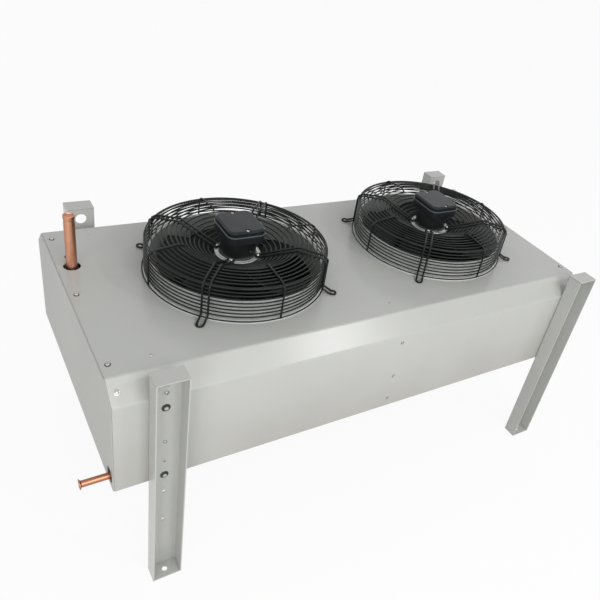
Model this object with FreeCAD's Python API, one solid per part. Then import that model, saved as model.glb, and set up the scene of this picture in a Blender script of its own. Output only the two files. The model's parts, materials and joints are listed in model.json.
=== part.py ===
import FreeCAD, Part

import math
import os

# Twin-fan flat-bed cooler on four legs. Millimetres, +Z up, +X along the casing away from the headers,
# -Y is the front. The origin is the middle of the four anchor holes, at floor level.

# Casing
case_length = 1500.0
case_depth = 730.0
case_height = 305.0
slope_run = 50.0
slope_drop = 46.0
sheet = 2.0
bottom_lip = 14.0
end_reveal = 3.0
flange_width = 30.0
flange_clearance = 0.1

# Legs
header_space = 116.0
bend_space = 54.0
ground_clearance = 340.0
leg_rise = 35.0
leg_width = 74.0
leg_reach = 47.0
leg_sheet = 3.0
lifting_hole_radius = 15.0
lifting_hole_drop = 33.0
anchor_hole_radius = 7.0
spare_hole_radius = 4.0
spare_holes_above_floor = (184.0, 290.0)
leg_bolts_above_case_bottom = (12.0, 230.0)
bolt_head_radius = 8.0
bolt_head = 6.0
bolt_shank_radius = 4.0
bolt_clearance = 0.3
nut_height = 4.0

# Coil
coil_side_gap = 10.0
row_pitch = 50.0
coil_rows = 2
circuits = 7
circuit_inset = 30.0
coil_tube_radius = 8.0
bend_reach = 22.0
header_offset = 39.0
inlet_header_radius = 21.0
outlet_header_radius = 17.5
header_side_gap = 35.0
outlet_header_overrun = 29.0
header_sides = 12
lip_sides = 16

# Connections
inlet_radius = 14.0
branch_collar_radius = 16.0
branch_collar_height = 27.0
inlet_dish_radius = 10.5
inlet_dish = 2.0
inlet_y = 130.0
inlet_height = 147.0
inlet_hole_radius = 21.0
outlet_radius = 8.0
outlet_bore_radius = 7.0
outlet_side_gap = 30.0
outlet_reach = 66.0
outlet_hole_radius = 20.0
outlet_hole_rise = 4.0
outlet_lip_radius = 12.4
outlet_lip = 3.0
grommet_y = 175.0
grommet_radius = 6.0
grommet_lip = 2.5

# Fans
fan_insets = (332.0, 354.0)
throat_radius = 209.0
collar_sides = 40
collar_height = 56.0
collar_flare = 20.0
collar_wall = 2.0
collar_flange_radius = 246.0
collar_flange = 2.0
can_radius = 70.0
can_wall = 4.0
can_floor = 5.0
can_depth = 76.0
can_gap = 6.0
blade_count = 5
tip_clearance = 5.0
blade_thickness = 2.5
blade_sink = 1.5
blade_high = 46.0
blade_root_rise = 58.0
blade_tip_rise = 38.0
blade_root_spread = 58.0
blade_tip_spread = 53.0
blade_lead = 16.0
blade_camber = 9.0
blade_strips = 3
blade_spans = 2

# Guard
wire = 4.0
weld = 0.5
guard_radius = 242.0
guard_height = 105.0
guard_turn = 3.5
outer_sides = 24
inner_sides = 16
side_ring_low = 8.0
side_rings = 3
side_ring_pitch = 40.0
ridge_radius = 165.0
ridge_height = 112.0
shoulder_radius = 230.0
shoulder_flat = 4.0
inner_ring_radius = 84.0
top_rings = 3
double_wire_gap = 18.0
short_spoke = 16.0
foot_radius = 275.0
foot_slope = 24.0
single_spokes = [90 * i for i in range(4)]
double_spokes = [45 + 90 * i for i in range(4)]

# Motor
motor_sides = 24
flange_height = 60.0
flange_thickness = 4.0
flange_radius = 62.0
spoke_end_radius = 54.0
air_gap = 1.0
stator_height = 56.0
tube_radius = 17.0
bearing_radius = 13.0
bearing_width = 9.0
shaft_radius = 6.0
shaft_head_radius = 9.0
shaft_head = 2.4
running_clearance = 0.09
end_float = 0.2
cap_radius = 50.0
cap_height = 52.0

# Terminal box
box_width = 104.0
box_depth = 118.0
box_height = 22.0
box_corner = 20.0
corner_steps = 3
lid_height = 18.0
lid_overhang = 2.0
lid_crown = 5.0
gland_radius = 9.0
gland_nose_radius = 6.0
gland_length = 16.0

# Clearance of pieces that are fitted but not pressed together, and how far cutters pass a face
joint_clearance = 0.05
past = 1.0

# Places that follow from the sizes
X_AXIS = FreeCAD.Vector(1, 0, 0)
Y_AXIS = FreeCAD.Vector(0, 1, 0)
Z_AXIS = FreeCAD.Vector(0, 0, 1)
half_depth = case_depth / 2
case_bottom = ground_clearance
case_top = case_bottom + case_height
leg_pitch = case_length - header_space - bend_space
case_left = -leg_pitch / 2 - header_space
case_right = case_left + case_length
leg_top = case_top + leg_rise
sheet_face = (leg_pitch + flange_width) / 2
fan_centres = [-sheet_face + fan_insets[0], sheet_face - fan_insets[1]]
partition_x = sum(fan_centres) / 2
coil_depth = case_depth - 2 * coil_side_gap
header_length = case_depth - 2 * header_side_gap
circuit_pitch = (header_length - 2 * circuit_inset) / (circuits - 1)
outlet_y = -half_depth + outlet_side_gap
coil_low = case_bottom + sheet
coil_high = coil_low + coil_rows * row_pitch
row_levels = [coil_low + row_pitch * (row + 0.5) for row in range(coil_rows)]
header_x = case_left + header_offset
circuit_places = [circuit_pitch * (i - (circuits - 1) / 2) for i in range(circuits)]

# Levels of the motor's inner pieces, above the cowl
flange_under = flange_height - flange_thickness
can_top = flange_under - can_gap
can_bottom = can_top - can_depth
shaft_low = can_bottom + can_floor
stator_low = shaft_low + can_gap
upper_bearing = flange_under - bearing_width - shaft_head
head_level = upper_bearing + bearing_width + end_float

# Leg bolts, as (point on the leg's web, outward direction)
leg_bolts = []
for bolt_x in (-leg_pitch / 2, leg_pitch / 2):
    for side in (-1, 1):
        for height in leg_bolts_above_case_bottom:
            seat = FreeCAD.Vector(bolt_x, side * (half_depth + leg_sheet), case_bottom + height)
            leg_bolts.append((seat, Y_AXIS * side))
bolt_grip = leg_sheet + 2 * sheet + flange_clearance

# Middle of a guard spoke, as (radius, height above the cowl) points
spoke_line = [
    (spoke_end_radius, flange_height + wire / 2),
    (flange_radius, flange_height + wire / 2),
    (ridge_radius, ridge_height),
    (shoulder_radius - shoulder_flat, guard_height),
    (shoulder_radius, guard_height),
]


def save(name, *solids):
    """Writes one piece, or one group of alike pieces, under its own name."""
    shape = solids[0] if len(solids) == 1 else Part.makeCompound(list(solids))
    shape.exportStep("parts/" + name + ".step")


def prism(corners, sweep):
    """Straight solid on a flat outline, given as points in order."""
    return Part.Face(Part.makePolygon(corners + corners[:1])).extrude(sweep)


def regular(sides, radius, base, along, height):
    """Prism with equal sides; radius is to its flats, and an upright one has a flat towards +X."""
    turn = math.pi / sides
    corner = radius / math.cos(turn)
    corners = []
    for i in range(sides):
        angle = turn * (2 * i + 1)
        corners.append(FreeCAD.Vector(corner * math.cos(angle), corner * math.sin(angle), 0))
    solid = prism(corners, FreeCAD.Vector(0, 0, height))
    solid.Placement = FreeCAD.Placement(base, FreeCAD.Rotation(Z_AXIS, along))
    return solid


def cylinder(radius, base, along, height):
    return Part.makeCylinder(radius, height, base, along)


def patch(*corners):
    """Faces between three or four corners; a twisted patch is folded along one diagonal."""
    distinct = []
    for corner in corners:
        if all(corner.distanceToPoint(other) > 1e-6 for other in distinct):
            distinct.append(corner)
    if len(distinct) < 3:
        return []
    if len(distinct) == 3:
        return [Part.Face(Part.makePolygon(distinct + distinct[:1]))]
    a, b, c, d = distinct
    normal = (b - a).cross(c - a).normalize()
    if abs(normal.dot(d - a)) < 1e-6:
        return [Part.Face(Part.makePolygon([a, b, c, d, a]))]
    return patch(a, b, c) + patch(a, c, d)


def skinned(sections, ring):
    """Solid through matching loops of points.

    In a loop the second half runs back beside the first, and its patches are folded along the same diagonals.
    """
    faces = []
    pairs = list(zip(sections, sections[1:]))
    if ring:
        pairs.append((sections[-1], sections[0]))
    count = len(sections[0])
    for one, other in pairs:
        for i in range(count):
            j = (i + 1) % count
            if i < count // 2:
                faces += patch(one[i], one[j], other[j], other[i])
            else:
                faces += patch(one[j], other[j], other[i], one[i])
    if not ring:
        for loop in (sections[0], sections[-1]):
            for i in range(count // 2 - 1):
                faces += patch(loop[i], loop[i + 1], loop[count - 2 - i], loop[count - 1 - i])
    shell = Part.makeShell(faces)
    shell.sewShape()
    solid = Part.makeSolid(shell)
    if solid.Volume < 0:
        solid.reverse()
    return solid.removeSplitter()


def turned(profile, sides):
    """Upright turned piece with flat sides, from an outline of (radius to the flats, height) points."""
    turn = math.pi / sides
    stretch = 1 / math.cos(turn)
    sections = []
    for i in range(sides):
        angle = turn * (2 * i + 1)
        way = FreeCAD.Vector(math.cos(angle), math.sin(angle), 0) * stretch
        sections.append([way * radius + Z_AXIS * height for radius, height in profile])
    return skinned(sections, True)


def mitred(line, distance):
    """A bent line moved sideways to its left, with its corners mitred."""
    moved = []
    for i, (a, b) in enumerate(line):
        normals = []
        for j in (i - 1, i):
            if 0 <= j < len(line) - 1:
                run = (line[j + 1][0] - line[j][0], line[j + 1][1] - line[j][1])
                length = math.hypot(*run)
                normals.append((-run[1] / length, run[0] / length))
        mean = [sum(n[k] for n in normals) / len(normals) for k in (0, 1)]
        scale = distance / (mean[0] ** 2 + mean[1] ** 2)
        moved.append((a + mean[0] * scale, b + mean[1] * scale))
    return moved


def folded(line, thickness):
    """Outline of a sheet that is folded along a bent line; the thickness goes to the line's left."""
    return line + mitred(line, thickness)[::-1]


def case_line(inset, base):
    """The casing's cross-section as (y, z) points from front to back, moved inwards, down to a base."""
    line = [
        (-half_depth, base),
        (-half_depth, case_top - slope_drop),
        (-half_depth + slope_run, case_top),
        (half_depth - slope_run, case_top),
        (half_depth, case_top - slope_drop),
        (half_depth, base),
    ]
    return mitred(line, -inset)


def across(points, x):
    return [FreeCAD.Vector(x, y, z) for y, z in points]


def pan(face_x, inward, depth):
    """Pressed plate across the casing, standing on the cowl's lips, with a flange inside the cowl."""
    outside = sheet + flange_clearance
    solid = prism(across(case_line(outside, coil_low), face_x), X_AXIS * inward * depth)
    hollow = across(case_line(outside + sheet, coil_low - past), face_x + inward * sheet)
    return solid.cut(prism(hollow, X_AXIS * inward * depth))


def bolt_hole(seat, outward):
    radius = bolt_shank_radius + bolt_clearance
    return regular(6, radius, seat + outward * past, outward * -1, bolt_grip + 2 * past)


def inlet_hole():
    """Cutter of the oversize hole that the inlet pipe comes up through."""
    centre = FreeCAD.Vector(header_x, inlet_y, case_top - flange_width)
    return cylinder(inlet_hole_radius, centre, Z_AXIS, flange_width + past)


def make_cowl():
    """Top, slopes, front and back folded from one sheet, with a lip along each lower edge."""
    line = [(-half_depth + bottom_lip, case_bottom)]
    line += case_line(0, case_bottom)
    line += [(half_depth - bottom_lip, case_bottom)]
    left = case_left + end_reveal
    solid = prism(across(folded(line, -sheet), left), X_AXIS * (case_length - 2 * end_reveal))
    level = case_top - sheet - past
    depth = sheet + 2 * past
    for fan_x in fan_centres:
        centre = FreeCAD.Vector(fan_x, 0, level)
        solid = solid.cut(cylinder(throat_radius + collar_wall, centre, Z_AXIS, depth))
    solid = solid.cut(inlet_hole())
    centre = FreeCAD.Vector(header_x, grommet_y, level)
    solid = solid.cut(regular(8, grommet_radius, centre, Z_AXIS, depth))
    for seat, outward in leg_bolts:
        solid = solid.cut(bolt_hole(seat, outward))
    return solid


def make_end_panels():
    """Two pans whose flanges lie under the cowl's ends; the pipes pass through holes in the left one."""
    left = pan(case_left, 1, flange_width)
    right = pan(case_right, -1, flange_width)
    centre = FreeCAD.Vector(case_left - past, outlet_y, row_levels[0] + outlet_hole_rise)
    left = left.cut(cylinder(outlet_hole_radius, centre, X_AXIS, sheet + 2 * past)).cut(inlet_hole())
    return {"left": left, "right": right}


def make_tube_sheets():
    """Two pans that hold the fin pack's ends; their flanges take the leg bolts."""
    sheets = {}
    for name, side in (("left", -1), ("right", 1)):
        solid = pan(side * sheet_face, -side, flange_width)
        for seat, outward in leg_bolts:
            if seat.x * side > 0:
                solid = solid.cut(bolt_hole(seat, outward))
        sheets[name] = solid
    return sheets


def make_fin_pack():
    """Fins and tubes as one block between the tube sheets, resting on the cowl's lips."""
    low = FreeCAD.Vector(-sheet_face + sheet, -coil_depth / 2, coil_low)
    return Part.makeBox(2 * (sheet_face - sheet), coil_depth, coil_high - coil_low, low)


def make_partition():
    """Pan between the fans, cut away below to sit on the fin pack."""
    solid = pan(partition_x - flange_width / 2, 1, flange_width)
    width = coil_depth + 2 * joint_clearance
    low = FreeCAD.Vector(partition_x - flange_width, -width / 2, coil_low - past)
    return solid.cut(Part.makeBox(2 * flange_width, width, coil_high - low.z, low))


def make_header(radius, level, low_y, high_y):
    """Copper header across the casing with the ends of the coil's tubes brazed into it."""
    solid = regular(header_sides, radius, FreeCAD.Vector(header_x, low_y, level), Y_AXIS, high_y - low_y)
    for place in circuit_places:
        base = FreeCAD.Vector(-sheet_face, place, level)
        solid = solid.fuse(regular(6, coil_tube_radius, base, X_AXIS * -1, -sheet_face - header_x))
    return solid


def make_inlet_header():
    return make_header(inlet_header_radius, row_levels[-1], -header_length / 2, header_length / 2)


def make_inlet_stub(header):
    """Pipe and its collar, saddled on the upper header, up through the cowl, the end closed and dished."""
    base = FreeCAD.Vector(header_x, inlet_y, row_levels[-1])
    height = case_top + inlet_height - base.z
    solid = regular(header_sides, branch_collar_radius, base, Z_AXIS, branch_collar_height)
    solid = solid.fuse(cylinder(inlet_radius, base, Z_AXIS, height)).cut(header).removeSplitter()
    dish = base + Z_AXIS * (height - inlet_dish)
    return solid.cut(regular(header_sides, inlet_dish_radius, dish, Z_AXIS, inlet_dish + past))


def make_outlet_header():
    """Lower header with the outlet pipe, level and out through the left end, with a rolled lip."""
    base = FreeCAD.Vector(header_x, outlet_y, row_levels[0])
    reach = header_offset + outlet_reach
    front = -header_length / 2 - outlet_header_overrun
    solid = make_header(outlet_header_radius, base.z, front, header_length / 2)
    solid = solid.fuse(regular(lip_sides, outlet_radius, base, X_AXIS * -1, reach))
    lip = base - X_AXIS * reach
    solid = solid.fuse(regular(lip_sides, outlet_lip_radius, lip, X_AXIS, outlet_lip)).removeSplitter()
    return solid.cut(cylinder(outlet_bore_radius, base, X_AXIS * -1, reach + past))


def make_return_bends():
    """Bends on the right tube sheet that join the lower row of tubes to the upper one."""
    low, high = row_levels[0], row_levels[-1]
    reach = sheet_face + bend_reach - coil_tube_radius
    line = [(sheet_face, low), (reach, low), (reach, high), (sheet_face, high)]
    corner = coil_tube_radius / math.cos(math.pi / 6)
    edges = []
    for i in range(6):
        angle = math.pi * i / 3
        edges.append((corner * math.cos(angle), mitred(line, corner * math.sin(angle))))
    bends = []
    for place in circuit_places:
        sections = []
        for i in range(len(line)):
            sections.append([FreeCAD.Vector(moved[i][0], place + y, moved[i][1]) for y, moved in edges])
        bends.append(skinned(sections, False))
    return bends


def make_grommet():
    """Closed rubber grommet: a neck in the cowl's hole with a lip on each side of the sheet."""
    neck = grommet_radius - joint_clearance
    rim = grommet_radius + grommet_lip
    under = -sheet - joint_clearance
    profile = [
        (0, under - grommet_lip),
        (rim, under - grommet_lip),
        (rim, under),
        (neck, under),
        (neck, joint_clearance),
        (rim, joint_clearance),
        (rim, joint_clearance + grommet_lip),
        (0, joint_clearance + grommet_lip),
    ]
    solid = turned(profile, 8)
    solid.translate(FreeCAD.Vector(header_x, grommet_y, case_top))
    return solid


def make_leg(x, side):
    """Folded channel with its web on the casing, flanges outwards, cap, foot plate and holes."""
    half = leg_width / 2
    line = [(-half, leg_reach), (-half, 0), (half, 0), (half, leg_reach)]
    outline = [FreeCAD.Vector(a, b, 0) for a, b in folded(line, leg_sheet)]
    solid = prism(outline, Z_AXIS * leg_top)
    for level in (0, leg_top - leg_sheet):
        corner = FreeCAD.Vector(-half + leg_sheet / 2, leg_sheet / 2, level)
        plate = Part.makeBox(leg_width - leg_sheet, leg_reach - leg_sheet / 2, leg_sheet, corner)
        solid = solid.fuse(plate)
    solid = solid.removeSplitter()
    depth = leg_sheet + 2 * past
    centre = FreeCAD.Vector(0, -past, leg_top - lifting_hole_drop)
    solid = solid.cut(cylinder(lifting_hole_radius, centre, Y_AXIS, depth))
    centre = FreeCAD.Vector(0, leg_reach / 2, -past)
    solid = solid.cut(cylinder(anchor_hole_radius, centre, Z_AXIS, depth))
    for level in spare_holes_above_floor:
        solid = solid.cut(regular(6, spare_hole_radius, FreeCAD.Vector(0, -past, level), Y_AXIS, depth))
    turn = 0 if side > 0 else 180
    foot = FreeCAD.Vector(x, side * half_depth, 0)
    solid.Placement = FreeCAD.Placement(foot, FreeCAD.Rotation(Z_AXIS, turn))
    for seat, outward in leg_bolts:
        if seat.x * x > 0 and seat.y * side > 0:
            solid = solid.cut(bolt_hole(seat, outward))
    return solid


def make_leg_bolts():
    """Hexagon bolts through leg, cowl and tube sheet, each with its nut drawn up inside.

    The shanks are six-sided: they stand for the threads.
    """
    bolts = []
    for seat, outward in leg_bolts:
        bolt = regular(6, bolt_head_radius, seat, outward, bolt_head)
        bolt = bolt.fuse(regular(6, bolt_shank_radius, seat, outward * -1, bolt_grip))
        nut = regular(6, bolt_head_radius, seat - outward * bolt_grip, outward * -1, nut_height)
        bolts.append(bolt.fuse(nut).removeSplitter())
    return bolts


def make_collar():
    """Ring around the blades: a flat flange on the cowl and a wall that widens upwards."""
    top = throat_radius + collar_flare
    wall_foot = throat_radius + collar_wall + collar_flare * collar_flange / collar_height
    profile = [
        (throat_radius, 0),
        (collar_flange_radius, 0),
        (collar_flange_radius, collar_flange),
        (wall_foot, collar_flange),
        (top + collar_wall, collar_height),
        (top, collar_height),
    ]
    return turned(profile, collar_sides)


def spoke_height(radius):
    """Height of a spoke's middle above the cowl, at a radius."""
    for (r0, z0), (r1, z1) in zip(spoke_line, spoke_line[1:]):
        if r0 <= radius <= r1:
            return z0 + (z1 - z0) * (radius - r0) / (r1 - r0)


def wire_ring(sides, radius, level):
    """Ring of square wire; radius is to the flats outside and level is its middle."""
    base = FreeCAD.Vector(0, 0, level - wire / 2)
    outer = regular(sides, radius, base, Z_AXIS, wire)
    return outer.cut(regular(sides, radius - wire, base, Z_AXIS, wire))


def bent_wire(path, offset):
    """Square wire along (radius, height) points in an upright plane, moved sideways by offset."""
    line = mitred(path, -wire / 2)
    corners = [FreeCAD.Vector(r, offset - wire / 2, z) for r, z in folded(line, wire)]
    return prism(corners, Y_AXIS * wire)


def make_eye():
    """Half ring that joins the two wires of a foot around its screw."""
    outer = (double_wire_gap + wire) / 2
    corners = []
    for radius, angles in ((outer, (-90, -45, 0, 45, 90)), (outer - wire, (90, 45, 0, -45, -90))):
        for angle in angles:
            way = FreeCAD.Vector(math.cos(math.radians(angle)), math.sin(math.radians(angle)), 0)
            corners.append(X_AXIS * foot_radius + way * radius)
    return prism(corners, Z_AXIS * wire)


def welded(pieces):
    return pieces[0].multiFuse(pieces[1:]).removeSplitter()


def around(piece, angles):
    copies = []
    for angle in angles:
        copy = piece.copy()
        copy.rotate(FreeCAD.Vector(), Z_AXIS, angle)
        copies.append(copy)
    return copies


def make_guard_basket():
    """Side of the guard: rings, eight uprights and, on the doubled ones, the feet with their eyes."""
    outside = guard_radius + wire / 2
    shoulder_drop = (outside - shoulder_radius) / 2
    head = [(shoulder_radius, guard_height), (shoulder_radius + wire / 2, guard_height)]
    head += [(outside, guard_height - shoulder_drop)]
    single = head + [(outside, side_ring_low - wire / 2)]
    double = head + [(outside, side_ring_low), (outside + foot_slope, wire / 2)]
    double += [(foot_radius + weld, wire / 2)]
    pieces = []
    for i in range(side_rings):
        pieces.append(wire_ring(outer_sides, guard_radius, side_ring_low + i * side_ring_pitch))
    pieces += around(bent_wire(single, 0), single_spokes)
    for offset in (-double_wire_gap / 2, double_wire_gap / 2):
        pieces += around(bent_wire(double, offset), double_spokes)
    pieces += around(make_eye(), double_spokes)
    return welded(pieces)


def make_guard_grille():
    """Top of the guard: rings under twelve spokes that dip from a ridge to the motor flange."""
    pieces = []
    for i in range(top_rings):
        radius = inner_ring_radius + i * (shoulder_radius - inner_ring_radius) / (top_rings - 1)
        level = min(spoke_height(radius - wire), spoke_height(radius)) - wire + weld
        sides = inner_sides if radius < ridge_radius else outer_sides
        pieces.append(wire_ring(sides, radius, level))
    start = ridge_radius - short_spoke
    single = [(start, spoke_height(start))] + spoke_line[2:]
    pieces += around(bent_wire(single, 0), single_spokes)
    for offset in (-double_wire_gap / 2, double_wire_gap / 2):
        pieces += around(bent_wire(spoke_line, offset), double_spokes)
    return welded(pieces)


def make_motor_flange():
    """Motor flange with its bearing tube, bored for both bearings."""
    tube_low = stator_low - joint_clearance
    seat = bearing_radius + joint_clearance
    profile = [
        (seat, tube_low),
        (tube_radius, tube_low),
        (tube_radius, flange_under),
        (flange_radius, flange_under),
        (flange_radius, flange_height),
        (seat, flange_height),
    ]
    return turned(profile, motor_sides)


def make_bearings():
    rings = []
    for level in (stator_low, upper_bearing):
        ring = regular(motor_sides, bearing_radius, Z_AXIS * level, Z_AXIS, bearing_width)
        bore = cylinder(shaft_radius + running_clearance, Z_AXIS * level, Z_AXIS, bearing_width)
        rings.append(ring.cut(bore))
    return rings


def make_stator():
    """Laminated pack on the bearing tube, inside the rotor can."""
    outer = (can_radius - can_wall - air_gap) * math.cos(math.pi / motor_sides)
    inner = tube_radius + joint_clearance
    top = stator_low + stator_height
    return turned([(inner, stator_low), (outer, stator_low), (outer, top), (inner, top)], motor_sides)


def make_motor_cap():
    top = flange_height + cap_height
    return turned([(0, flange_height), (cap_radius, flange_height), (cap_radius, top), (0, top)], motor_sides)


def make_blade():
    """Swept, twisted and cambered sheet blade that starts inside the rotor can's wall."""
    root = can_radius - blade_sink
    tip = throat_radius - tip_clearance
    sections = []
    for span in range(blade_spans + 1):
        share = span / blade_spans
        radius = root + (tip - root) * share
        rise = blade_root_rise + (blade_tip_rise - blade_root_rise) * share
        spread = blade_root_spread + (blade_tip_spread - blade_root_spread) * share
        upper = []
        for strip in range(blade_strips + 1):
            along = strip / blade_strips
            angle = math.radians(blade_lead * share + spread * (0.5 - along))
            sag = blade_camber * 4 * along * (1 - along)
            height = blade_high - rise * (1 - along) - sag
            upper.append(FreeCAD.Vector(radius * math.cos(angle), radius * math.sin(angle), height))
        lower = [point - Z_AXIS * blade_thickness for point in upper]
        sections.append(upper + lower[::-1])
    return skinned(sections, False)


def make_impeller():
    """Rotor can, open at the top, with its shaft pressed in and the blades welded to its wall."""
    inside = can_radius - can_wall
    cup = [
        (0, can_bottom),
        (can_radius, can_bottom),
        (can_radius, can_top),
        (inside, can_top),
        (inside, shaft_low),
        (0, shaft_low),
    ]
    sunk = shaft_low - can_floor / 2
    shaft = cylinder(shaft_radius, Z_AXIS * sunk, Z_AXIS, head_level + shaft_head - sunk)
    head = regular(header_sides, shaft_head_radius, Z_AXIS * head_level, Z_AXIS, shaft_head)
    turns = [360.0 * i / blade_count for i in range(blade_count)]
    return welded([turned(cup, motor_sides), shaft, head] + around(make_blade(), turns))


def rounded_loop(width, depth, corner, level):
    """Level outline with rounded corners, as points that start on the right-hand side."""
    loop = []
    for quarter, (sign_x, sign_y) in enumerate(((1, 1), (-1, 1), (-1, -1), (1, -1))):
        for step in range(corner_steps + 1):
            angle = math.radians(90.0 * (quarter + step / corner_steps))
            x = sign_x * (width / 2 - corner) + corner * math.cos(angle)
            y = sign_y * (depth / 2 - corner) + corner * math.sin(angle)
            loop.append(FreeCAD.Vector(x, y, level))
    return loop


def make_terminal_box():
    level = flange_height + cap_height
    return prism(rounded_loop(box_width, box_depth, box_corner, level), Z_AXIS * box_height)


def make_terminal_lid():
    """Lid that overhangs the box a little, with a bevelled top edge."""
    level = flange_height + cap_height + box_height
    wide = box_width + 2 * lid_overhang
    deep = box_depth + 2 * lid_overhang
    corner = box_corner + lid_overhang
    crown = 2 * lid_crown
    sections = [
        rounded_loop(wide, deep, corner, level),
        rounded_loop(wide, deep, corner, level + lid_height - lid_crown),
        rounded_loop(wide - crown, deep - crown, corner - lid_crown, level + lid_height),
    ]
    return skinned(sections, False)


def make_cable_gland():
    """Hexagon of the gland on the back of the terminal box, with its clamping nose."""
    base = FreeCAD.Vector(0, box_depth / 2, flange_height + cap_height + box_height / 2)
    gland = regular(6, gland_radius, base, Y_AXIS, gland_length / 2)
    nose = regular(8, gland_nose_radius, base, Y_AXIS, gland_length)
    return gland.fuse(nose).removeSplitter()


os.makedirs("parts", exist_ok=True)
save("cowl", make_cowl())
for end, panel in make_end_panels().items():
    save("end_panel_" + end, panel)
for end, tube_sheet in make_tube_sheets().items():
    save("tube_sheet_" + end, tube_sheet)
save("fin_pack", make_fin_pack())
save("fan_partition", make_partition())
inlet_header = make_inlet_header()
save("inlet_header", inlet_header)
save("inlet_stub", make_inlet_stub(inlet_header))
save("outlet_header", make_outlet_header())
save("return_bends", *make_return_bends())
save("cable_grommet", make_grommet())
for end, leg_x in (("left", -leg_pitch / 2), ("right", leg_pitch / 2)):
    save("leg_front_" + end, make_leg(leg_x, -1))
    save("leg_back_" + end, make_leg(leg_x, 1))
save("leg_bolts", *make_leg_bolts())

fan_pieces = {
    "collar": make_collar(),
    "guard_basket": around(make_guard_basket(), [guard_turn])[0],
    "guard_grille": around(make_guard_grille(), [guard_turn])[0],
    "motor_flange": make_motor_flange(),
    "stator": make_stator(),
    "motor_cap": make_motor_cap(),
    "terminal_box": make_terminal_box(),
    "terminal_lid": make_terminal_lid(),
    "cable_gland": make_cable_gland(),
    "impeller": make_impeller(),
}
bearings = []
for number, fan_x in enumerate(fan_centres, start=1):
    place = FreeCAD.Vector(fan_x, 0, case_top)
    for name, piece in fan_pieces.items():
        copy = piece.copy()
        copy.translate(place)
        save("fan_%d_%s" % (number, name), copy)
    for ring in make_bearings():
        ring.translate(place)
        bearings.append(ring)
save("motor_bearings", *bearings)
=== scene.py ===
import json
import math

import bmesh
import bpy
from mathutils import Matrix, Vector


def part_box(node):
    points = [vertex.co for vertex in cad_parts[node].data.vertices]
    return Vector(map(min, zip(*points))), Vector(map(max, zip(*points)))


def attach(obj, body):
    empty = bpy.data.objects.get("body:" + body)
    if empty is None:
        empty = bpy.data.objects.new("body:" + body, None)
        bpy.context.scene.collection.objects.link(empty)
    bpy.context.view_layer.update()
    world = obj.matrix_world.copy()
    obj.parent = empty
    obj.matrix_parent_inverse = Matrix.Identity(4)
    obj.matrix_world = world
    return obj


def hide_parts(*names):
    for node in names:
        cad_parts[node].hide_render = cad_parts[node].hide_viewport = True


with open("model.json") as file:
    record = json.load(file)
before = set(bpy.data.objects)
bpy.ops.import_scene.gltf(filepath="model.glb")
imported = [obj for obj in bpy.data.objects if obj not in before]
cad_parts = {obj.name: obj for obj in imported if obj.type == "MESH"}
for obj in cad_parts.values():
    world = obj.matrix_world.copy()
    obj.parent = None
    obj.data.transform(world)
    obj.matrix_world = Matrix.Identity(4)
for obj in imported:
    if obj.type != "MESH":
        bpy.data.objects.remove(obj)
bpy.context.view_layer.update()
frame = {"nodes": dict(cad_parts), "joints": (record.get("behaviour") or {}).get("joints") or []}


# Legs. Four channels folded from 3 mm sheet and powder coated like the casing, each with a cap on top,
# a foot plate between its flanges, a lifting hole, and a row of holes down its web.
leg_nodes = ("leg_front_left", "leg_back_left", "leg_front_right", "leg_back_right")
leg_sheet = 0.003
leg_bend = 0.0045
leg_edge = 0.0005
cap_gap = 0.0006
cap_edge = 0.0008
foot_edge = 0.0006
foot_setback = 0.001
lifting_hole_radius = 0.015
lifting_hole_drop = 0.033
anchor_radius = 0.007
web_hole_radius = 0.0040
web_hole_levels = (0.184, 0.290)
small_hole_radius = 0.003
small_hole_level = 0.398
weld = 0.00002
axis_turn = {"x": (0.0, math.pi / 2, 0.0), "y": (math.pi / 2, 0.0, 0.0), "z": (0.0, 0.0, 0.0)}


def pick(piece):
    """Selects one piece alone and makes it the active one."""
    bpy.ops.object.select_all(action="DESELECT")
    piece.select_set(True)
    bpy.context.view_layer.objects.active = piece


def edit(piece, everything=False):
    """Opens one piece alone in edit mode, with all or nothing of its mesh selected."""
    pick(piece)
    bpy.ops.object.mode_set(mode="EDIT")
    bpy.ops.mesh.select_all(action="SELECT" if everything else "DESELECT")


def leave():
    """Closes edit mode."""
    bpy.ops.object.mode_set(mode="OBJECT")


def add_primitive(operator, **settings):
    """Adds a primitive with nothing else selected, and puts its place into its mesh."""
    bpy.ops.object.select_all(action="DESELECT")
    operator(**settings)
    bpy.ops.object.transform_apply()
    return bpy.context.object


def drawn_line(points, filled=False):
    """A chain of edges through the points, drawn from one vertex by extruding it."""
    piece = add_primitive(bpy.ops.mesh.primitive_plane_add, size=0.01, location=points[0])
    edit(piece)
    bpy.ops.mesh.select_mode(type="VERT")
    bpy.ops.mesh.select_all(action="SELECT")
    bpy.ops.mesh.merge(type="CENTER")
    stops = [Vector(point) for point in points]
    if filled:
        stops.append(stops[0])
    for here, there in zip(stops, stops[1:]):
        bpy.ops.mesh.extrude_region_move(TRANSFORM_OT_translate={"value": there - here})
    if filled:
        bpy.ops.mesh.select_all(action="SELECT")
        bpy.ops.mesh.remove_doubles(threshold=weld)
        bpy.ops.mesh.edge_face_add()
    leave()
    return piece


def modify(piece, kind, **settings):
    """Adds a modifier to a piece and applies it."""
    pick(piece)
    modifier = piece.modifiers.new(kind.lower(), kind)
    for name, value in settings.items():
        setattr(modifier, name, value)
    bpy.ops.object.modifier_apply(modifier=modifier.name)
    return piece


def round_edges(piece, width, steps=2, over=60.0):
    """Rounds the edges at which the surface turns by more than the given degrees."""
    return modify(piece, "BEVEL", width=width, segments=steps, limit_method="ANGLE",
                  angle_limit=math.radians(over))


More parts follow.
